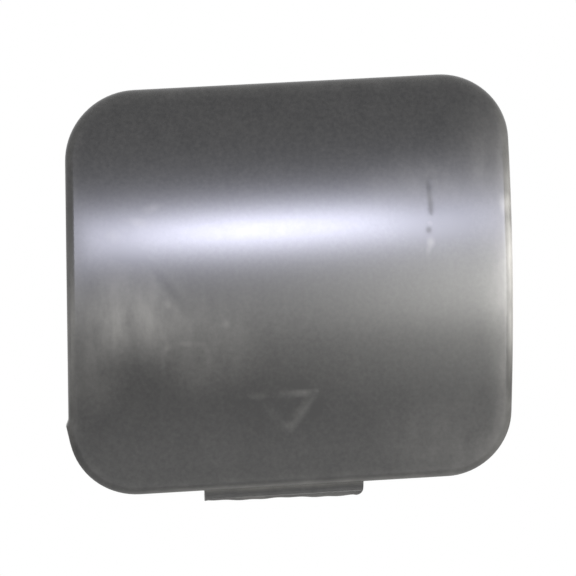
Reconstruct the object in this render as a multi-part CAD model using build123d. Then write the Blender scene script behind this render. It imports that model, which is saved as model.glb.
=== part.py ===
from build123d import *
import os
from math import asin, cos, degrees, pi, radians, sin, sqrt, tan

# Tow hook cover: one moulding of plastic that closes the towing eye's opening in a bumper.
# It stands as it is fitted: X along the bumper, Z up, the face towards -Y. The origin is the
# middle of the opening, level with the bumper's outer surface, where the face has its crown.
# Sizes are in millimetres and angles in degrees.

# Outline of the face, seen from the front. The sides lean, with the top towards +X.
cover_width = 80.0
cover_height = 73.1
side_lean = 2.4
corner_top_right = 11.7
corner_top_left = 13.1
corner_bottom_left = 12.3
corner_bottom_right = 11.7

# Shell: a skin bowed about X, with a rim turned back all round
face_radius = 80.0
edge_round = 1.5
skin = 2.5
rim_wall = 2.0
rim_depth = 8.0

# Bumper that the cover snaps into
bumper_skin = 2.5
bumper_clearance = 0.2

# Tongue under the bottom edge. It leans as the bumper's skin does there, to go behind it.
tongue_width = 29.0
tongue_middle = -2.5
tongue_thickness = 2.5
tongue_reach_left = 2.1
tongue_reach_right = 2.67
tongue_corner = 1.3
tongue_front_round = 0.45
tongue_wave_height = 0.09
tongue_wave_pitch = 4.4
tongue_groove_drop = 1.2
tongue_groove_radius = 0.3

# Webs between the tongue's root and the skin
web_thickness = 1.2
web_spacing = 9.5
web_rise = 7.5
web_count = 3

# Snap hooks behind the top edge
hook_spacing = 38.8
hook_width = 9.0
hook_thickness = 2.2
hook_inset = 5.4
barb_height = 1.8
barb_land = 0.8
barb_slope = 3.4

# Channel posts low on the back. Their roots show faintly through the face.
post_width = 8.0
post_height = 8.4
post_wall = 1.5
post_top = -9.8
post_end = 14.0

# Ribs that tie each hook to the post below it
rib_thickness = 1.2
rib_height = 3.0

# Triangle moulded on the face, a raised bead that points at the tongue
mark_width = 10.6
mark_height = 6.5
mark_middle = -1.9
mark_above_edge = 10.3
bead_width = 0.85
bead_height = 0.28

# Nib left on the left side wall, just above the bottom corner
nib_proud = 0.42
nib_above_corner = 0.95
nib_run_up = 1.5
nib_run_down = 3.3

# Worked out from the sizes above
half_width = cover_width / 2
half_height = cover_height / 2
lean_slope = tan(radians(side_lean))
edge_setback = face_radius - sqrt(face_radius**2 - half_height**2)
rim_radius = face_radius - rim_depth
rim_end = face_radius - sqrt(rim_radius**2 - half_height**2)
tongue_radius = face_radius - bumper_skin - bumper_clearance
tongue_lean = degrees(asin(half_height / tongue_radius))
tongue_lean_slope = tan(radians(tongue_lean))
tongue_front = face_radius - sqrt(tongue_radius**2 - half_height**2)
tongue_back = tongue_front + tongue_thickness / cos(radians(tongue_lean))
catch_plane = rim_end + bumper_skin + bumper_clearance
hook_end = catch_plane + barb_land + barb_slope
hook_outer = half_height - hook_inset
mark_tip = -half_height + mark_above_edge
nib_tip = -half_height + corner_bottom_left + nib_above_corner
well_behind = 2 * hook_end


def drum(radius):
    """A solid drum about X, round the face's own centre of curvature."""
    return Pos(0, face_radius, 0) * Rot(0, 90, 0) * Cylinder(radius, 2 * cover_width)


def run_back(outline, depth):
    """A shape drawn as seen from the front, run back from the crown's plane."""
    return extrude(Plane.XZ * outline, depth, dir=(0, 1, 0))


def run_across(profile, width, middle):
    """A shape drawn as seen from the +X side, given its width along X."""
    return Pos(middle, 0, 0) * extrude(Plane.YZ * profile, width / 2, both=True)


def face_outline():
    """Four straight sides and four corner arcs."""
    lean = half_height * lean_slope
    corners = [
        ((half_width + lean, half_height), corner_top_right),
        ((-half_width + lean, half_height), corner_top_left),
        ((-half_width - lean, -half_height), corner_bottom_left),
        ((half_width - lean, -half_height), corner_bottom_right),
    ]
    outline = make_face(Polyline(*[place for place, radius in corners], close=True))
    for place, radius in corners:
        outline = fillet(outline.vertices().sort_by_distance(place)[0], radius)
    return outline


def make_shell(outline):
    """The bowed skin and its rim, with the front edge rounded."""
    shell = run_back(outline, well_behind) & drum(face_radius)
    shell += make_nib()
    shell -= drum(rim_radius)
    front = shell.faces().sort_by(Axis.Y)[0]
    shell = fillet(front.edges(), edge_round)
    hollow = run_back(offset(outline, -rim_wall), well_behind)
    return shell - (hollow & drum(face_radius - skin))


def make_nib():
    """A small wedge on the left side wall, sharp at its tip."""

    def side(height, proud):
        return (-half_width + lean_slope * height - proud, height)

    wedge = make_face(
        Polyline(
            side(nib_tip + nib_run_up, 0),
            side(nib_tip, nib_proud),
            side(nib_tip - nib_run_down, 0),
            side(nib_tip - nib_run_down, -rim_wall / 2),
            side(nib_tip + nib_run_up, -rim_wall / 2),
            close=True,
        )
    )
    return run_back(wedge, well_behind) & drum(face_radius)


def make_tongue():
    """A flat leaning tongue, its lower edge rough, with a rounded corner and a groove across."""
    left = tongue_middle - tongue_width / 2
    right = tongue_middle + tongue_width / 2
    slope = (tongue_reach_left - tongue_reach_right) / tongue_width

    def lower_edge(x):
        straight = -half_height - tongue_reach_left + slope * (x - left)
        return (x, straight + tongue_wave_height * sin(2 * pi * (x - left) / tongue_wave_pitch))

    wavy_end = right - tongue_corner
    steps = round(4 * (wavy_end - left) / tongue_wave_pitch)
    edge_points = [lower_edge(left + (wavy_end - left) * step / steps) for step in range(steps + 1)]
    last_x, last_z = edge_points[-1]
    root = -half_height + rim_wall / 2
    sides = [
        Spline(*edge_points),
        ThreePointArc(
            (last_x, last_z),
            (right - tongue_corner * (1 - sin(pi / 4)), last_z + tongue_corner * (1 - cos(pi / 4))),
            (right, last_z + tongue_corner),
        ),
        Polyline((right, last_z + tongue_corner), (right, root), (left, root), edge_points[0]),
    ]
    on_front = (Align.CENTER, Align.MIN, Align.CENTER)
    slab = Box(2 * tongue_width, tongue_thickness, tongue_width, align=on_front)
    slab = Pos(tongue_middle, tongue_front, -half_height) * Rot(tongue_lean, 0, 0) * slab
    tongue = run_back(make_face(sides), well_behind) & slab
    front = tongue.faces().sort_by(Axis.Y)[0]
    wavy_edge = front.edges().sort_by(Axis.Z)[0]
    tongue = fillet(wavy_edge, tongue_front_round)
    groove_front = tongue_front + tongue_groove_drop * tongue_lean_slope
    groove = Rot(0, 90, 0) * Cylinder(tongue_groove_radius, 2 * tongue_width)
    return tongue - Pos(tongue_middle, groove_front, -half_height - tongue_groove_drop) * groove


def make_webs():
    """Three-cornered webs that brace the rim behind the tongue."""
    web = make_face(
        Polyline(
            (0, -half_height + rim_wall / 2),
            (tongue_back, -half_height + rim_wall / 2),
            (tongue_back, -half_height + rim_wall),
            (edge_setback, -half_height + rim_wall + web_rise),
            (0, -half_height + rim_wall + web_rise),
            close=True,
        )
    )
    places = [tongue_middle + web_spacing * (i - (web_count - 1) / 2) for i in range(web_count)]
    return [run_across(web, web_thickness, place) for place in places]


def make_hook(middle):
    """A springy leg with a barb on top, which catches behind the bumper's ledge."""
    profile = make_face(
        Polyline(
            (0, hook_outer - hook_thickness),
            (hook_end, hook_outer - hook_thickness),
            (hook_end, hook_outer),
            (catch_plane + barb_land, hook_outer + barb_height),
            (catch_plane, hook_outer + barb_height),
            (catch_plane, hook_outer),
            (0, hook_outer),
            close=True,
        )
    )
    return run_across(profile, hook_width, middle)


def make_post(middle):
    """A post of channel section, open downwards."""
    outside = Pos(middle, post_top - post_height / 2) * Rectangle(post_width, post_height)
    inside = Rectangle(post_width - 2 * post_wall, post_height)
    inside = Pos(middle, post_top - post_height / 2 - post_wall) * inside
    return run_back(outside - inside, post_end)


def make_rib(middle):
    """A low rib that follows the bowed skin from a post up to a hook."""
    length = hook_outer - hook_thickness / 2 - (post_top - post_wall / 2)
    strip = Pos(middle, post_top - post_wall / 2 + length / 2) * Rectangle(rib_thickness, length)
    return run_back(strip, well_behind) - drum(face_radius - skin - rib_height)


def on_bead_line(x, z):
    """The middle of the bead's round section, under the point of the face at x and z."""
    bead_radius = (bead_width**2 / 4 + bead_height**2) / (2 * bead_height)
    turn = asin(z / face_radius)
    reach = face_radius + bead_height - bead_radius
    return Vector(x, face_radius - reach * cos(turn), reach * sin(turn)), bead_radius


def make_mark():
    """A triangle of round bead, with a ball at each corner."""
    corners = [
        (mark_middle - mark_width / 2, mark_tip + mark_height),
        (mark_middle + mark_width / 2, mark_tip + mark_height),
        (mark_middle, mark_tip),
    ]
    beads = []
    for i in range(3):
        start, bead_radius = on_bead_line(*corners[i])
        stop, bead_radius = on_bead_line(*corners[(i + 1) % 3])
        along = stop - start
        bar = Cylinder(bead_radius, along.length, align=(Align.CENTER, Align.CENTER, Align.MIN))
        beads.append(Plane(start, z_dir=along) * bar)
        beads.append(Pos(*start) * Sphere(bead_radius))
    return beads


def make_cover():
    outline = face_outline()
    behind = []
    for middle in (-hook_spacing / 2, hook_spacing / 2):
        behind += [make_hook(middle), make_post(middle), make_rib(middle)]
    behind += make_webs()
    cover = make_shell(outline)
    inside_skin = drum(face_radius - skin / 2)
    for piece in behind:
        cover += piece & inside_skin
    cover += make_tongue()
    for bead in make_mark():
        cover += bead
    return cover


os.makedirs("parts", exist_ok=True)
export_step(make_cover(), "parts/tow_hook_cover.step")
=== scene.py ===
from math import cos, pi, radians, sin, sqrt, tan

import bmesh
import bpy
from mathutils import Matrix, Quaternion, Vector


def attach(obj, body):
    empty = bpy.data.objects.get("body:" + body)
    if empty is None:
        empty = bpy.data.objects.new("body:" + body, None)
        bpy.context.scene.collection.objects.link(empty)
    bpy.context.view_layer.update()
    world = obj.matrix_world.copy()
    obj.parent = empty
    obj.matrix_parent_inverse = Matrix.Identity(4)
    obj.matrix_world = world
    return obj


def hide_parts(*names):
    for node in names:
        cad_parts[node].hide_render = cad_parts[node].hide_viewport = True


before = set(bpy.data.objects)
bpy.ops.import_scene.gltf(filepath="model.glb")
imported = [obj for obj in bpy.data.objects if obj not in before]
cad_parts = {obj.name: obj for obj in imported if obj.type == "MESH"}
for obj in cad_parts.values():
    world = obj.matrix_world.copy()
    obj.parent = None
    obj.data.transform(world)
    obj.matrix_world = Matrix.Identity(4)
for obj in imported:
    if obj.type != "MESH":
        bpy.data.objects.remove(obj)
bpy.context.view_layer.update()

# Bumper tow hook cover. The cover is modelled in millimetres, with the sizes of the part's
# source, and brought to metres at the end. X runs along the bumper, Z is up and the face
# looks towards -Y. Angles are in degrees.
MM = 0.001

# Outline, bow and walls
COVER_WIDTH = 80.0
COVER_HEIGHT = 73.1
SIDE_LEAN = 2.4
CORNERS = [  # side of X, side of Z, radius
    (1, 1, 11.7),
    (-1, 1, 13.1),
    (-1, -1, 12.3),
    (1, -1, 11.7),
]
FACE_RADIUS = 80.0
EDGE_ROUND = 1.5
SKIN = 2.5
RIM_WALL = 2.0
RIM_DEPTH = 8.0
INNER_FILLET = 0.5
RIM_BREAK = 0.2
EDGE_BREAK = 0.15
HALF_WIDTH = COVER_WIDTH / 2
HALF_HEIGHT = COVER_HEIGHT / 2
LEAN = HALF_HEIGHT * tan(radians(SIDE_LEAN))
RIM_END = FACE_RADIUS - sqrt((FACE_RADIUS - RIM_DEPTH) ** 2 - HALF_HEIGHT**2)

# The flat face is cut into rows and columns before it is bowed
ROWS = 61
ROW = COVER_HEIGHT / ROWS
COLUMN = 4.0
FINE_ROW = ROW / 6  # round the triangle and the scratch
NEAR = 0.01
SAME_PLACE = NEAR / 10
CORNER_STEPS = 20  # facets round a corner of the outline
EDGE_STEPS = 12  # and round the front edge

# Bumper that the cover snaps into
BUMPER_SKIN = 2.5
BUMPER_CLEARANCE = 0.2

# Tongue under the bottom edge, and the webs behind it
TONGUE_LEFT, TONGUE_RIGHT = -17.0, 12.0
TONGUE_MIDDLE = (TONGUE_LEFT + TONGUE_RIGHT) / 2
TONGUE_DEPTH = BUMPER_SKIN + BUMPER_CLEARANCE  # under the bowed face, which it follows
TONGUE_THICKNESS = 2.5
TONGUE_REACH_LEFT, TONGUE_REACH_RIGHT = 2.1, 2.67
TONGUE_CORNER = 1.3
TONGUE_FRONT_ROUND = 0.45
WAVES = [(0.09, 14.5, 2.46), (0.055, 4.6, 0.6)]  # height, pitch, and where along it starts
WAVE_STEP = WAVES[-1][1] / 8
GROOVE_DROP = 1.25
GROOVE_RADIUS = 1.3
GROOVE_DEPTH = 0.14
WEB_SPACING = 9.5
WEB_THICKNESS = 1.2
WEB_RISE = 7.5

# Snap hooks behind the top edge
HOOK_PLACES = (-19.4, 19.4)
HOOK_WIDTH = 9.0
HOOK_THICKNESS = 2.2
HOOK_INSET = 5.4
HOOK_OUTER = HALF_HEIGHT - HOOK_INSET
CATCH_PLANE = RIM_END + BUMPER_SKIN + BUMPER_CLEARANCE
BARB_LAND = 0.8
BARB_SLOPE = 3.4
BARB_HEIGHT = 1.8
HOOK_END = CATCH_PLANE + BARB_LAND + BARB_SLOPE

# Channel posts low on the back, and the ribs from them up to the hooks
POST_WIDTH = 8.0
POST_HEIGHT = 8.4
POST_WALL = 1.5
POST_TOP = -9.8
POST_END = 14.0
RIB_THICKNESS = 1.2
RIB_HEIGHT = 3.0
RIB_STEP = 2.0

# Raised triangle, worn almost flat, and most of all at its left corner
MARK_CORNERS = [(-7.25, -19.8), (3.3, -19.7), (-1.65, -26.3)]
MARK_PATCH = (-8.6, 5.5, -27.8, -18.6)  # left, right, bottom, top
MARK_HEIGHT = 0.035
MARK_SPREAD = 0.9
MARK_LEFT_SHARE = 0.3  # of its height that is left at the left corner
MARK_LEFT_SPREAD = 4.0

# Scratch near the right side
SCRATCH = ((25.85, 16.4), (26.05, 11.3))
SCRATCH_PATCH = (24.7, 27.3, 10.2, 17.4)
SCRATCH_DEPTH = 0.01
SCRATCH_SPREAD = 0.7

# Nib of flash on the left side wall
NIB_TOP, NIB_TIP, NIB_END = -22.1, -23.3, -26.6
NIB_PROUD = 0.42
NIB_SUNK_TOP, NIB_SUNK_END = 0.03, 0.3  # its ends lie this deep in the wall and the corner


# Modelling helpers


def select_only(*pieces):
    """Selects these objects in object mode, with the last one active."""
    if bpy.context.object and bpy.context.object.mode != "OBJECT":
        bpy.ops.object.mode_set(mode="OBJECT")
    bpy.ops.object.select_all(action="DESELECT")
    for piece in pieces:
        piece.select_set(True)
        bpy.context.view_layer.objects.active = piece


def edit(piece):
    select_only(piece)
    bpy.ops.object.mode_set(mode="EDIT")


def pick(piece, kind, test):
    """In edit mode, selects each VERT, EDGE or FACE whose points all pass the test."""
    bpy.ops.mesh.select_mode(type=kind)
    bpy.ops.mesh.select_all(action="DESELECT")
    mesh = bmesh.from_edit_mesh(piece.data)
    elements = {"VERT": mesh.verts, "EDGE": mesh.edges, "FACE": mesh.faces}[kind]
    for element in elements:
        points = [element] if kind == "VERT" else element.verts
        element.select_set(all(test(point.co) for point in points))
    mesh.select_flush_mode()
    bmesh.update_edit_mesh(piece.data)


def add_block(name, low, high):
    """A box between two corners."""
    select_only()
    middle = [(a + b) / 2 for a, b in zip(low, high)]
    bpy.ops.mesh.primitive_cube_add(size=1, location=middle)
    piece = bpy.context.object
    piece.name = name
    piece.scale = [b - a for a, b in zip(low, high)]
    bpy.ops.object.transform_apply(location=True, rotation=True, scale=True)
    return piece


def cut_across(piece, axis, places):
    """Cuts the faces along planes square to an axis, which adds the edges that a bow needs."""
    edit(piece)
    for place in places:
        bpy.ops.mesh.select_all(action="SELECT")
        at = [place if i == axis else 0 for i in range(3)]
        normal = [int(i == axis) for i in range(3)]
        bpy.ops.mesh.bisect(plane_co=at, plane_no=normal, threshold=SAME_PLACE)


def evenly(low, high, step):
    count = round((high - low) / step)
    return [low + (high - low) * i / count for i in range(1, count)]


def bevel(width, segments):
    bpy.ops.mesh.bevel(offset=width, segments=segments, profile=0.5, affect="EDGES", clamp_overlap=False)


def modify(piece, kind, **settings):
    """Adds a modifier and applies it."""
    select_only(piece)
    modifier = piece.modifiers.new(kind, kind)
    for name, value in settings.items():
        setattr(modifier, name, value)
    bpy.ops.object.modifier_apply(modifier=modifier.name)


def combine(piece, tool, operation):
    """Joins or cuts a piece with another solid, which is used up."""
    modify(piece, "BOOLEAN", object=tool, operation=operation, solver="MANIFOLD")
    bpy.data.objects.remove(tool)


def bow(piece):
    """Bows a flat piece about X. Its depth Y becomes the depth under the bowed face.
    The bend tool needs a window, so each point is set back by the circle at its height."""
    select_only(piece)
    for point in piece.data.vertices:
        radius = FACE_RADIUS - point.co.y
        point.co.y = FACE_RADIUS - sqrt(radius**2 - point.co.z**2)


def skin_middle(z):
    """How far back the middle of the skin lies at a height."""
    return FACE_RADIUS - sqrt((FACE_RADIUS - SKIN / 2) ** 2 - z**2)


# The moulding, first flat


def make_shell():
    """The skin and its rim: a block, its sides leaned, its corners rounded, hollowed from behind."""
    shell = add_block("moulded_cover", (-HALF_WIDTH, 0, -HALF_HEIGHT), (HALF_WIDTH, RIM_DEPTH, HALF_HEIGHT))
    edit(shell)
    for side in (-1, 1):
        pick(shell, "VERT", lambda p: p.z * side > 0)
        bpy.ops.transform.translate(value=(side * LEAN, 0, 0))
    for side_x, side_z, radius in CORNERS:
        corner_angle = radians(90 - SIDE_LEAN * side_x * side_z)
        pick(shell, "EDGE", lambda p: p.x * side_x > HALF_WIDTH / 2 and p.z * side_z > HALF_HEIGHT - NEAR
             and abs(p.x - side_x * HALF_WIDTH - side_z * LEAN) < NEAR)
        bevel(radius / tan(corner_angle / 2), CORNER_STEPS)
    pick(shell, "EDGE", lambda p: p.y < NEAR)
    bevel(EDGE_ROUND, EDGE_STEPS)
    pick(shell, "FACE", lambda p: p.y > RIM_DEPTH - NEAR)
    bpy.ops.mesh.inset(thickness=RIM_WALL, depth=0)
    bpy.ops.mesh.extrude_region_move(TRANSFORM_OT_translate={"value": (0, SKIN - RIM_DEPTH, 0)})
    pick(shell, "EDGE", lambda p: abs(p.y - SKIN) < NEAR)
    bevel(INNER_FILLET, 4)
    pick(shell, "EDGE", lambda p: p.y > RIM_DEPTH - NEAR)
    bevel(RIM_BREAK, 3)
    add_nib(shell)
    return shell


def add_nib(shell):
    """A small wedge of flash on the left side wall, rounded in front as the wall is."""
    def wall(z):
        return -HALF_WIDTH + z * LEAN / HALF_HEIGHT

    nib = add_block("nib", (wall(NIB_TIP) - NIB_PROUD, NEAR, NIB_END),
                    (wall(NIB_TIP) + EDGE_ROUND + NEAR, RIM_DEPTH - RIM_BREAK, NIB_TOP))
    cut_across(nib, 2, [NIB_TIP])
    for place, sunk in ((NIB_TOP, NIB_SUNK_TOP), (NIB_END, NIB_SUNK_END)):
        pick(nib, "VERT", lambda p: p.x < wall(NIB_TIP) and abs(p.z - place) < NEAR)
        bpy.ops.transform.translate(value=(wall(place) + sunk - wall(NIB_TIP) + NIB_PROUD, 0, 0))
    pick(nib, "EDGE", lambda p: p.x < wall(NIB_TIP) + EDGE_ROUND and p.y < 2 * NEAR)
    bevel(EDGE_ROUND, EDGE_STEPS)
    combine(shell, nib, "UNION")


def mould_lines(cover, patch, lines, height, spread):
    """Raises a soft ridge along lines on a finely cut patch of the face, or sinks a groove
    where the height is below zero. The rest of the cover is left hidden, in edit mode."""
    left, right = patch[:2]
    bottom, top = [round((place + HALF_HEIGHT) / ROW) * ROW - HALF_HEIGHT for place in patch[2:]]

    def on_patch(p):
        return left - NEAR < p.x < right + NEAR and bottom - NEAR < p.z < top + NEAR and abs(p.y) < NEAR

    def on_line(p):
        for start, stop in lines:
            run = Vector(stop) - Vector(start)
            out = Vector((p.x, p.z)) - Vector(start)
            along = min(max(out.dot(run) / run.length_squared, 0), 1)
            if (out - run * along).length < 2 * NEAR:
                return True
        return False

    cut_across(cover, 0, (left, right))
    cuts = [((place, 0, 0), (1, 0, 0)) for place in evenly(left, right, FINE_ROW)]
    cuts += [((0, 0, place), (0, 0, 1)) for place in evenly(bottom, top, FINE_ROW)]
    for (x, z), (end_x, end_z) in lines:
        cuts.append(((x, 0, z), Vector((end_z - z, 0, x - end_x)).normalized()))
    for place, square in cuts:
        pick(cover, "FACE", on_patch)
        bpy.ops.mesh.bisect(plane_co=place, plane_no=square, threshold=SAME_PLACE)
    pick(cover, "FACE", on_patch)
    bpy.ops.mesh.hide(unselected=True)
    pick(cover, "VERT", lambda p: on_patch(p) and on_line(p))
    bpy.ops.transform.translate(
        value=(0, -height, 0), use_proportional_edit=True, proportional_edit_falloff="SMOOTH",
        proportional_size=spread)


def raise_mark(cover):
    """The raised triangle, flatter at the left."""
    sides = [(corner, MARK_CORNERS[(i + 1) % 3]) for i, corner in enumerate(MARK_CORNERS)]
    mould_lines(cover, MARK_PATCH, sides, MARK_HEIGHT, MARK_SPREAD)
    left_end = MARK_CORNERS[0][0] + 1
    pick(cover, "VERT", lambda p: p.x < left_end and p.z < MARK_PATCH[3] and not p.y > NEAR)
    bpy.ops.transform.resize(
        value=(1, MARK_LEFT_SHARE, 1), center_override=(0, 0, 0), use_proportional_edit=True,
        proportional_edit_falloff="SMOOTH", proportional_size=MARK_LEFT_SPREAD)
    bpy.ops.mesh.reveal()


def sink_scratch(cover):
    """A shallow blunt scratch near the right side."""
    mould_lines(cover, SCRATCH_PATCH, [SCRATCH], -SCRATCH_DEPTH, SCRATCH_SPREAD)
    bpy.ops.mesh.reveal()


# Pieces behind the skin


def make_tongue():
    """A tongue with a rough lower edge, a rounded right corner and a groove across it. It
    leans as the bumper's skin does, which it goes behind."""
    root = -HALF_HEIGHT + RIM_WALL / 2
    foot = -HALF_HEIGHT - TONGUE_REACH_LEFT
    tongue = add_block("tongue", (TONGUE_LEFT, TONGUE_DEPTH, foot),
                       (TONGUE_RIGHT, TONGUE_DEPTH + TONGUE_THICKNESS, root))
    edit(tongue)
    pick(tongue, "VERT", lambda p: p.z < foot + NEAR and p.x > 0)
    bpy.ops.transform.translate(value=(0, 0, TONGUE_REACH_LEFT - TONGUE_REACH_RIGHT))
    pick(tongue, "EDGE", lambda p: p.z < foot + NEAR and p.x > 0)
    bevel(TONGUE_CORNER, 6)
    places = evenly(TONGUE_LEFT, TONGUE_RIGHT - TONGUE_CORNER, WAVE_STEP)
    cut_across(tongue, 0, places)
    for place in places:
        pick(tongue, "VERT", lambda p: p.z < foot + 1 and abs(p.x - place) < NEAR)
        wave = sum(height * sin(2 * pi * place / pitch + start) for height, pitch, start in WAVES)
        bpy.ops.transform.translate(value=(0, 0, wave))
    pick(tongue, "EDGE", lambda p: p.z < foot + 1 and p.y < TONGUE_DEPTH + NEAR)
    bevel(TONGUE_FRONT_ROUND, 5)
    select_only()
    groove_middle = (TONGUE_MIDDLE, TONGUE_DEPTH + GROOVE_DEPTH - GROOVE_RADIUS, -HALF_HEIGHT - GROOVE_DROP)
    bpy.ops.mesh.primitive_cylinder_add(
        vertices=90, radius=GROOVE_RADIUS, depth=2 * (TONGUE_RIGHT - TONGUE_LEFT),
        rotation=(0, pi / 2, 0), location=groove_middle)
    combine(tongue, bpy.context.object, "DIFFERENCE")
    bow(tongue)
    return tongue


def make_web(middle):
    """A three-cornered web that braces the rim behind the tongue."""
    top = -HALF_HEIGHT + RIM_WALL + WEB_RISE
    bottom = -HALF_HEIGHT + RIM_WALL / 2
    back_top = FACE_RADIUS - sqrt(FACE_RADIUS**2 - HALF_HEIGHT**2)
    tongue_radius = FACE_RADIUS - TONGUE_DEPTH
    tongue_run = sqrt(tongue_radius**2 - HALF_HEIGHT**2)
    foot = FACE_RADIUS - tongue_run + TONGUE_THICKNESS * tongue_radius / tongue_run
    slope = (foot - back_top) / WEB_RISE
    web = add_block("web", (middle - WEB_THICKNESS / 2, skin_middle(top), bottom),
                    (middle + WEB_THICKNESS / 2, back_top, top))
    edit(web)
    pick(web, "VERT", lambda p: p.z < top - 1 and p.y < back_top - NEAR)
    bpy.ops.transform.translate(value=(0, skin_middle(bottom) - skin_middle(top), 0))
    pick(web, "VERT", lambda p: p.z < top - 1 and abs(p.y - back_top) < NEAR)
    bpy.ops.transform.translate(value=(0, slope * (top - bottom), 0))
    return web


def make_hook(middle):
    """A springy leg with a barb on top, which catches behind the bumper's ledge."""
    left, right = middle - HOOK_WIDTH / 2, middle + HOOK_WIDTH / 2
    hook = add_block("hook", (left, skin_middle(HOOK_OUTER), HOOK_OUTER - HOOK_THICKNESS),
                     (right, HOOK_END, HOOK_OUTER))
    cut_across(hook, 1, [CATCH_PLANE, CATCH_PLANE + BARB_LAND])
    pick(hook, "FACE", lambda p: p.z > HOOK_OUTER - NEAR and p.y > CATCH_PLANE - NEAR)
    bpy.ops.mesh.extrude_region_move(TRANSFORM_OT_translate={"value": (0, 0, BARB_HEIGHT)})
    pick(hook, "VERT", lambda p: p.z > HOOK_OUTER + NEAR and p.y > HOOK_END - NEAR)
    bpy.ops.transform.translate(value=(0, 0, -BARB_HEIGHT))
    bpy.ops.mesh.select_all(action="SELECT")
    bpy.ops.mesh.remove_doubles(threshold=NEAR)
    return hook


def make_post(middle):
    """A post of channel section, open downwards."""
    left, right = middle - POST_WIDTH / 2, middle + POST_WIDTH / 2
    post = add_block("post", (left, skin_middle(POST_TOP - POST_HEIGHT / 2), POST_TOP - POST_WALL),
                     (right, POST_END, POST_TOP))
    cut_across(post, 0, [left + POST_WALL, right - POST_WALL])
    for side in (-1, 1):
        pick(post, "FACE", lambda p: p.z < POST_TOP - POST_WALL + NEAR
             and (p.x - middle) * side > POST_WIDTH / 2 - POST_WALL - NEAR)
        bpy.ops.mesh.extrude_region_move(TRANSFORM_OT_translate={"value": (0, 0, POST_WALL - POST_HEIGHT)})
    return post


def make_rib(middle):
    """A low rib that follows the bowed skin from a post up to a hook."""
    low, high = POST_TOP - POST_WALL / 2, HOOK_OUTER - HOOK_THICKNESS / 2
    rib = add_block("rib", (middle - RIB_THICKNESS / 2, SKIN / 2, low),
                    (middle + RIB_THICKNESS / 2, SKIN + RIB_HEIGHT, high))
    cut_across(rib, 2, evenly(low, high, RIB_STEP))
    bow(rib)
    return rib


def make_cover():
    """The whole moulding, bowed, joined into one mesh and brought to metres."""
    cover = make_shell()
    cut_across(cover, 2, evenly(-HALF_HEIGHT, HALF_HEIGHT, ROW))
    cut_across(cover, 0, evenly(-HALF_WIDTH, HALF_WIDTH, COLUMN))
    raise_mark(cover)
    sink_scratch(cover)
    bow(cover)
    for middle in HOOK_PLACES:
        for piece in (make_hook(middle), make_post(middle)):
            modify(piece, "BEVEL", width=EDGE_BREAK, segments=3, limit_method="ANGLE")
            combine(cover, piece, "UNION")
        combine(cover, make_rib(middle), "UNION")
    for step in (-1, 0, 1):
        combine(cover, make_web(TONGUE_MIDDLE + step * WEB_SPACING), "UNION")
    combine(cover, make_tongue(), "UNION")
    select_only(cover)
    cover.scale = (MM, MM, MM)
    bpy.ops.object.transform_apply(location=True, rotation=True, scale=True)
    bpy.ops.object.shade_smooth_by_angle(angle=radians(25))
    modify(cover, "WEIGHTED_NORMAL", keep_sharp=True)
    return cover


# Materials

BODY_COLOUR = "141414"
# The film's colour, used for dust and for the light painted along the edges
DUST_AND_PAINTED_LIGHT_COLOUR = "a8a6a0"
PLASTIC_IOR = 1.55

# The film of dust and painted light, as a share of its colour
BASE_FILM = 0.014
MOTTLING = 0.071
BORDER_FILM = 0.036
BORDER_WIDTH = 3.2
OUTLINE_CORNER = sum(radius for side_x, side_z, radius in CORNERS) / len(CORNERS)
ARCH_FILM = 0.025
ARCH_MIDDLE = (HOOK_PLACES[0], -13.8)
ARCH_RADIUS = 4.1
ARCH_LINE = 0.75
ARCH_FOOT = -15.8

# Roughness of the clean face and of a dusty one, how much film makes it dusty, and how far
# it varies in patches
CLEAN_SATIN, DUSTY_SATIN, DUSTY_AT = 0.274, 0.295, 0.28
PATCHY_SATIN = 0.02
GRAIN_HEIGHT = 0.0006

# Patterns, in repeats to the millimetre
STREAKS = (0.3, 0.3, 0.11)  # wiped streaks 3 mm wide and 9 mm long
MOTTLES = 1.3  # spots of dust of 0.8 mm
PATCHES = 0.9  # patches of 1.1 mm
GRAIN = 3.2  # moulded grain, drawn as coarse as 0.3 mm so that it shows


def colour(code):
    """An sRGB hex value as linear red, green, blue and alpha."""
    parts = [int(code[i:i + 2], 16) / 255 for i in (0, 2, 4)]
    return [p / 12.92 if p <= 0.04045 else ((p + 0.055) / 1.055) ** 2.4 for p in parts] + [1]


def add_node(tree, kind, settings=None, links=None):
    """A node, with its own settings or its sockets' values, and what feeds its sockets."""
    node = tree.nodes.new("ShaderNode" + kind)
    for name, value in (settings or {}).items():
        if isinstance(name, str) and hasattr(node, name):
            setattr(node, name, value)
        else:
            node.inputs[name].default_value = value
    for name, source in (links or {}).items():
        tree.links.new(getattr(source, "outputs", [source])[0], node.inputs[name])
    return node


def new_material(name):
    material = bpy.data.materials.new(name)
    material.use_nodes = True
    material.node_tree.nodes.clear()
    return material, material.node_tree
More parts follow.
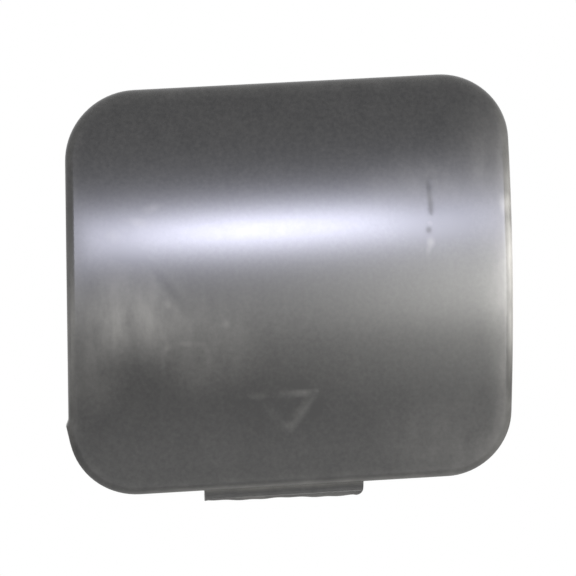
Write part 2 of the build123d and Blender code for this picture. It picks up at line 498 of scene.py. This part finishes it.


# Wear and painted light: where in X and Z, half its width and height, its turn about Y, and how much. In the
# dust marks that is more film, or less of it where it was wiped off or where shade is painted, and in
# rubbing a duller satin. Some dust marks paint light and shade, not dust: a glint, light along the
# edges and on the tongue, and shade in the tongue's groove.
DUST_AND_PAINTED_LIGHT_MARKS = [
    # wiped haze on the left
    (-29.3, -4.0, 16.0, 11.0, 0, 0.182),
    (-13.8, -6.5, 15.0, 10.0, 0, 0.039),
    (-16.0, -12.0, 13.0, 9.0, 0, 0.046),
    (-36.0, -14.5, 8.0, 9.0, 0, 0.064),
    (-28.7, 6.8, 5.0, 2.5, 15, -0.055),
    (-21.6, 0.0, 8.0, 1.6, 55, -0.055),
    # patches at the left end of the highlight
    (-26.7, 12.4, 2.6, 1.3, 20, 0.072),
    (-31.2, 10.2, 2.0, 1.8, 0, 0.072),
    (-23.9, 14.8, 2.8, 1.2, -15, 0.064),
    # specks
    (-22.4, -2.6, 1.2, 1.2, 0, 0.064),
    (-11.9, -6.6, 1.2, 1.2, 0, 0.055),
    # haze at the upper right, which also paints in the upper spread of the highlight, painted light near the
    # right edge above it, and a cleaner place in it
    (27.0, 16.5, 19.0, 7.0, 0, 0.064),
    (37.0, 20.0, 10.0, 15.0, 0, 0.072),
    (26.7, 9.6, 10.0, 5.0, 0, -0.055),
    # painted light along the right side, standing in for light from the right on the rounded edge, with some
    # scuffing in it
    (41.2, 0.0, 3.6, 26.0, 2, 0.950),
    (40.0, -1.0, 8.0, 23.0, 2, 0.190),
    # a painted glint near the right edge
    (39.4, 12.1, 1.6, 2.8, 0, 0.280),
    (41.0, 20.0, 4.0, 20.0, 2, 0.182),
    (39.0, -24.0, 5.0, 18.0, 2, 0.114),
    (31.0, -31.0, 22.0, 15.0, 0, 0.057),
    # painted light on the rounded left edge, standing in for light from the left
    (-41.0, -8.0, 2.6, 40.0, 2, 0.175),
    # painted light on the rounded bottom edge and the tongue's root, painted shade in the tongue's groove,
    # and painted light on its lip, standing in for light from below
    (-1.0, -36.4, 60.0, 0.9, 0, 0.085),
    (-2.5, -36.9, 40.0, 0.7, 0, 0.021),
    (-2.5, -37.8, 40.0, 0.8, 0, -0.035),
    (-2.5, -38.9, 40.0, 0.8, 1, 0.099),
    # cleaner in the scratch, and dusty nicks below it
    (25.8, 16.0, 1.1, 2.2, 0, -0.071),
    (25.55, 9.4, 0.9, 1.0, 0, 0.146),
    (25.4, 6.1, 1.1, 1.4, 0, 0.234),
    (25.0, 4.9, 0.8, 1.8, 12, 0.106),
    # darker round the triangle
    (-2.5, -21.8, 15.0, 10.0, 0, -0.013),
    (3.7, -22.6, 1.7, 2.6, 25, -0.028),
    (0.6, -18.1, 3.0, 1.2, 0, -0.021),
    # lighter along the triangle's sides
    (1.0, -19.7, 3.0, 1.1, 1, 0.064),
    (-1.9, -19.75, 2.8, 1.1, 1, 0.035),
    (-6.8, -19.8, 3.2, 1.1, 1, 0.035),
    (0.9, -22.8, 4.9, 1.5, -53, 0.053),
    (-1.65, -25.5, 2.0, 1.6, 0, 0.043),
    (-4.6, -23.1, 4.6, 1.3, 49, 0.021),
]
RUBBED_MARKS = [
    # duller round the scratch and above it
    (28.0, 12.0, 15.0, 10.0, 0, 0.018),
    (28.0, 19.0, 20.0, 9.0, 0, 0.036),
    # worn dull towards the left side, and smoothest in the middle
    (-34.0, 9.5, 12.0, 8.0, 0, 0.014),
    (-41.5, 8.0, 8.0, 18.0, 2, 0.095),
    (-12.0, 9.5, 18.0, 6.0, 0, -0.004),
    # torn surface in the scratch
    (25.85, 16.2, 1.1, 1.5, 0, 0.09),
    (25.9, 14.8, 1.1, 1.5, 0, 0.07),
    (25.95, 13.4, 1.1, 1.5, 0, 0.07),
    (26.0, 12.0, 1.1, 1.6, 0, 0.07),
    (25.3, 16.9, 1.0, 0.9, 0, 0.07),
    (25.2, 8.2, 0.9, 1.0, 0, 0.09),
]


def add_marks(tree, place, marks):
    """The sum of soft round-edged spots."""
    total = None
    for x, z, half_width, half_height, turn, amount in marks:
        spot = add_node(tree, "Mapping", {
            "vector_type": "TEXTURE", "Location": (x, 0, z), "Rotation": (0, radians(turn), 0),
            "Scale": (half_width, FACE_RADIUS, half_height)}, {"Vector": place})
        spot = add_node(tree, "TexGradient", {"gradient_type": "SPHERICAL"}, {"Vector": spot})
        spot = add_node(tree, "MapRange", {
            "interpolation_type": "SMOOTHSTEP", "To Max": amount}, {"Value": spot})
        total = add_node(tree, "Math", {"operation": "ADD"}, {0: total, 1: spot}) if total else spot
    return total


def scuffed_border(tree, apart):
    """Film along the edges, by how far each point lies outside the box between the corners' middles."""
    leaned = add_node(tree, "Math", {"operation": "MULTIPLY_ADD", 1: -LEAN / HALF_HEIGHT},
                      {0: apart.outputs["Z"], 2: apart.outputs["X"]})
    beyond = []
    for source, half in ((leaned.outputs[0], HALF_WIDTH), (apart.outputs["Z"], HALF_HEIGHT)):
        size = add_node(tree, "Math", {"operation": "ABSOLUTE"}, {0: source})
        size = add_node(tree, "Math", {"operation": "SUBTRACT", 1: half - OUTLINE_CORNER}, {0: size})
        beyond.append(add_node(tree, "Math", {"operation": "MAXIMUM", 1: 0}, {0: size}))
    beyond = add_node(tree, "CombineXYZ", None, {0: beyond[0], 1: beyond[1]})
    beyond = add_node(tree, "VectorMath", {"operation": "LENGTH"}, {0: beyond})
    return add_node(tree, "MapRange", {
        "interpolation_type": "SMOOTHSTEP", "From Min": OUTLINE_CORNER - BORDER_WIDTH,
        "From Max": OUTLINE_CORNER, "To Max": BORDER_FILM}, {"Value": beyond.outputs["Value"]})


def post_read_through(tree, apart):
    """Film over the faint squarish arch where a post stands behind the face."""
    across = add_node(tree, "Math", {"operation": "SUBTRACT", 1: ARCH_MIDDLE[0]}, {0: apart.outputs["X"]})
    across = add_node(tree, "Math", {"operation": "ABSOLUTE"}, {0: across})
    up = add_node(tree, "Math", {"operation": "SUBTRACT", 1: ARCH_MIDDLE[1]}, {0: apart.outputs["Z"]})
    up = add_node(tree, "Math", {"operation": "MAXIMUM", 1: 0}, {0: up})
    powers = [add_node(tree, "Math", {"operation": "POWER", 1: 4}, {0: part}) for part in (across, up)]
    reach = add_node(tree, "Math", {"operation": "ADD"}, {0: powers[0], 1: powers[1]})
    reach = add_node(tree, "Math", {"operation": "POWER", 1: 1 / 4}, {0: reach})
    reach = add_node(tree, "Math", {"operation": "SUBTRACT", 1: ARCH_RADIUS}, {0: reach})
    reach = add_node(tree, "Math", {"operation": "ABSOLUTE"}, {0: reach})
    arch = add_node(tree, "MapRange", {
        "interpolation_type": "SMOOTHSTEP", "From Max": ARCH_LINE, "To Min": ARCH_FILM, "To Max": 0},
        {"Value": reach})
    foot = add_node(tree, "MapRange", {
        "From Min": ARCH_FOOT, "From Max": ARCH_MIDDLE[1]}, {"Value": apart.outputs["Z"]})
    return add_node(tree, "Math", {"operation": "MULTIPLY"}, {0: arch, 1: foot})


def dust_and_painted_light_film(tree, place, coordinates):
    """How much film lies at each place: dust, and light and shade painted along the edges and on
    the tongue. It is streaky where it was wiped up and down, and finely mottled. None of it lies
    on the back."""
    apart = add_node(tree, "SeparateXYZ", None, {0: place})
    total = add_marks(tree, place, DUST_AND_PAINTED_LIGHT_MARKS)
    for part in (scuffed_border(tree, apart), post_read_through(tree, apart)):
        total = add_node(tree, "Math", {"operation": "ADD"}, {0: total, 1: part})
    total = add_node(tree, "Math", {"operation": "ADD", 1: BASE_FILM}, {0: total})
    streaks = add_node(tree, "Mapping", {"Scale": STREAKS}, {"Vector": place})
    streaks = add_node(tree, "TexNoise", {"Scale": 1, "Detail": 5, "Roughness": 0.55}, {"Vector": streaks})
    streaks = add_node(tree, "Math", {"operation": "MULTIPLY_ADD", 1: 1.8, 2: 0.1}, {0: streaks})
    total = add_node(tree, "Math", {"operation": "MULTIPLY"}, {0: total, 1: streaks})
    facing = add_node(tree, "SeparateXYZ", None, {0: coordinates.outputs["Normal"]})
    outside = add_node(tree, "MapRange", {
        "From Min": 0.3, "From Max": 0.05}, {"Value": facing.outputs["Y"]})
    total = add_node(tree, "Math", {"operation": "MULTIPLY"}, {0: total, 1: outside})
    mottling = add_node(tree, "TexNoise", {
        "Scale": MOTTLES, "Detail": 3, "Roughness": 0.6}, {"Vector": place})
    mottling = add_node(tree, "Math", {"operation": "SUBTRACT", 1: 0.5}, {0: mottling})
    return add_node(tree, "Math", {"operation": "MULTIPLY_ADD", 1: MOTTLING, "use_clamp": True},
                    {0: mottling, 2: total})


def moulded_polypropylene():
    """Polypropylene, near black and moulded through, as on an unpainted bumper. Its fine grain
    makes the highlight broad and soft. Dust and wiping leave it grey, uneven and scuffed, and the
    same film carries painted light along the edges and on the tongue, a painted glint, and
    painted shade in the tongue's groove."""
    material, tree = new_material("satin_moulded_polypropylene")
    coordinates = add_node(tree, "TexCoord")
    place = add_node(tree, "VectorMath", {"operation": "SCALE", "Scale": 1 / MM},
                     {0: coordinates.outputs["Object"]})
    # dust, with painted light and shade in it
    film = dust_and_painted_light_film(tree, place, coordinates)
    plastic = add_node(tree, "Mix", {
        "data_type": "RGBA", 6: colour(BODY_COLOUR), 7: colour(DUST_AND_PAINTED_LIGHT_COLOUR)}, {0: film})
    satin = add_node(tree, "MapRange", {
        "From Max": DUSTY_AT, "To Min": CLEAN_SATIN, "To Max": DUSTY_SATIN}, {"Value": film})
    rubbed = add_marks(tree, place, RUBBED_MARKS)
    satin = add_node(tree, "Math", {"operation": "ADD"}, {0: satin, 1: rubbed})
    patchy = add_node(tree, "TexNoise", {"Scale": PATCHES, "Detail": 3, "Roughness": 0.6}, {"Vector": place})
    satin = add_node(tree, "Math", {"operation": "MULTIPLY_ADD", 1: PATCHY_SATIN}, {0: patchy, 2: satin})
    grain = add_node(tree, "TexNoise", {"Scale": GRAIN, "Detail": 3, "Roughness": 0.55}, {"Vector": place})
    grain = add_node(tree, "Bump", {"Strength": 1, "Distance": GRAIN_HEIGHT * MM}, {"Height": grain})
    shader = add_node(tree, "BsdfPrincipled", {"IOR": PLASTIC_IOR}, {
        "Base Color": plastic.outputs[2], "Roughness": satin, "Normal": grain})
    add_node(tree, "OutputMaterial", None, {"Surface": shader})
    return material


def matt_board():
    """Pale matt board, the studio floor."""
    material, tree = new_material("pale_matt_board")
    shader = add_node(tree, "BsdfPrincipled", {
        "Base Color": colour("e8e8e6"), "Roughness": 0.9, "Specular IOR Level": 0.2})
    add_node(tree, "OutputMaterial", None, {"Surface": shader})
    return material


# Studio

# The photograph's view, with a long lens. Distances are in metres here, the sensor and the
# lens are in millimetres, and the shifts are shares of the picture's width.
CAMERA_AZIMUTH, CAMERA_ELEVATION = -3.819, 0.085
CAMERA_DISTANCE = 0.6
CAMERA_ROLL = -3.148
SENSOR_WIDTH = 36
LENS = 210.34
SHIFT_X, SHIFT_Y = -0.00562, -0.00752

FLOOR_SIZE = 4
FLOOR_DROP = 0.45
FILL_LEVEL = 0.2

NEUTRAL = (1, 1, 1)
WARM = (1.0, 0.99, 0.95)
BLUISH = (0.81, 0.82, 1.0)
LAMPS = [  # name, azimuth, elevation, distance, width and height, level, tint
    ("key_lamp", 3.3, 15.9, 0.7, (0.005, 0.05), 0.62, BLUISH),
    ("right_lamp", 15, -2.5, 0.7, (0.05, 0.25), 0.33, WARM),
    ("right_fill", 15, -11, 0.7, (0.06, 0.5), 0.24, WARM),
    ("side_lamp", 57, -2, 0.7, (0.85, 0.3), 0.75, WARM),
    ("left_lamp", -38, -6, 0.7, (0.75, 0.35), 0.2, WARM),
    ("low_lamp", 0, -61, 0.46, (0.33, 0.22), 0.04, WARM),
    ("floor_lamp", 0, 90, 1.5, (1.2, 1.2), 0.8, NEUTRAL),
]


def direction(azimuth, elevation):
    """From the origin, azimuth 0 towards -Y and 90 towards +X."""
    a, e = radians(azimuth), radians(elevation)
    return Vector((sin(a) * cos(e), -cos(a) * cos(e), sin(e)))


def add_lamp(name, azimuth, elevation, distance, size, level, tint):
    """An area lamp aimed at the origin. Its level is how bright it makes a white card there."""
    lamp = bpy.data.objects.new(name, bpy.data.lights.new(name, "AREA"))
    bpy.context.scene.collection.objects.link(lamp)
    lamp.data.shape = "RECTANGLE"
    lamp.data.size, lamp.data.size_y = size
    lamp.data.energy = level * (pi * distance) ** 2
    lamp.data.color = tint
    lamp.visible_camera = False
    back = direction(azimuth, elevation)
    lamp.location = back * distance
    lamp.rotation_mode = "QUATERNION"
    lamp.rotation_quaternion = (-back).to_track_quat("-Z", "Y")


def set_world():
    """A plain soft fill. What the camera sees of it, and what the plastic mirrors, is white."""
    world = bpy.data.worlds.new("studio")
    world.use_nodes = True
    tree = world.node_tree
    tree.nodes.clear()
    rays = add_node(tree, "LightPath")
    seen = add_node(tree, "Math", {"operation": "ADD"},
                    {0: rays.outputs["Is Camera Ray"], 1: rays.outputs["Is Glossy Ray"]})
    seen = add_node(tree, "Math", {"operation": "ADD", "use_clamp": True},
                    {0: seen.outputs[0], 1: rays.outputs["Is Transmission Ray"]})
    fill = add_node(tree, "Background", {"Color": (1, 1, 1, 1), "Strength": FILL_LEVEL})
    white = add_node(tree, "Background", {"Color": (1, 1, 1, 1), "Strength": 1})
    mix = add_node(tree, "MixShader", None, {0: seen.outputs[0], 1: fill.outputs[0], 2: white.outputs[0]})
    add_node(tree, "OutputWorld", None, {"Surface": mix})
    bpy.context.scene.world = world


def add_floor():
    """The cover is shown as it is fitted, so the floor lies well below it."""
    select_only()
    bpy.ops.mesh.primitive_plane_add(size=FLOOR_SIZE, location=(0, 0, -FLOOR_DROP))
    floor = bpy.context.object
    floor.name = "floor"
    bpy.ops.object.transform_apply(location=True, rotation=True, scale=True)
    floor.data.materials.append(matt_board())


def add_camera():
    """The camera stands a little left of square, and is rolled a little."""
    camera = bpy.data.objects.new("camera", bpy.data.cameras.new("camera"))
    bpy.context.scene.collection.objects.link(camera)
    back = direction(CAMERA_AZIMUTH, CAMERA_ELEVATION)
    camera.location = back * CAMERA_DISTANCE
    camera.rotation_mode = "QUATERNION"
    roll = Quaternion((0, 0, 1), radians(CAMERA_ROLL))
    camera.rotation_quaternion = (-back).to_track_quat("-Z", "Y") @ roll
    camera.data.sensor_width = SENSOR_WIDTH
    camera.data.lens = LENS
    camera.data.shift_x, camera.data.shift_y = SHIFT_X, SHIFT_Y
    bpy.context.scene.camera = camera


cover = make_cover()
cover.data.materials.clear()
cover.data.materials.append(moulded_polypropylene())
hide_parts("tow_hook_cover")
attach(cover, "root")

add_camera()
add_floor()
for lamp in LAMPS:
    add_lamp(*lamp)
bpy.data.objects["floor_lamp"].visible_glossy = False  # the plastic doesn't mirror it
set_world()
bpy.context.scene.view_settings.view_transform = "Standard"
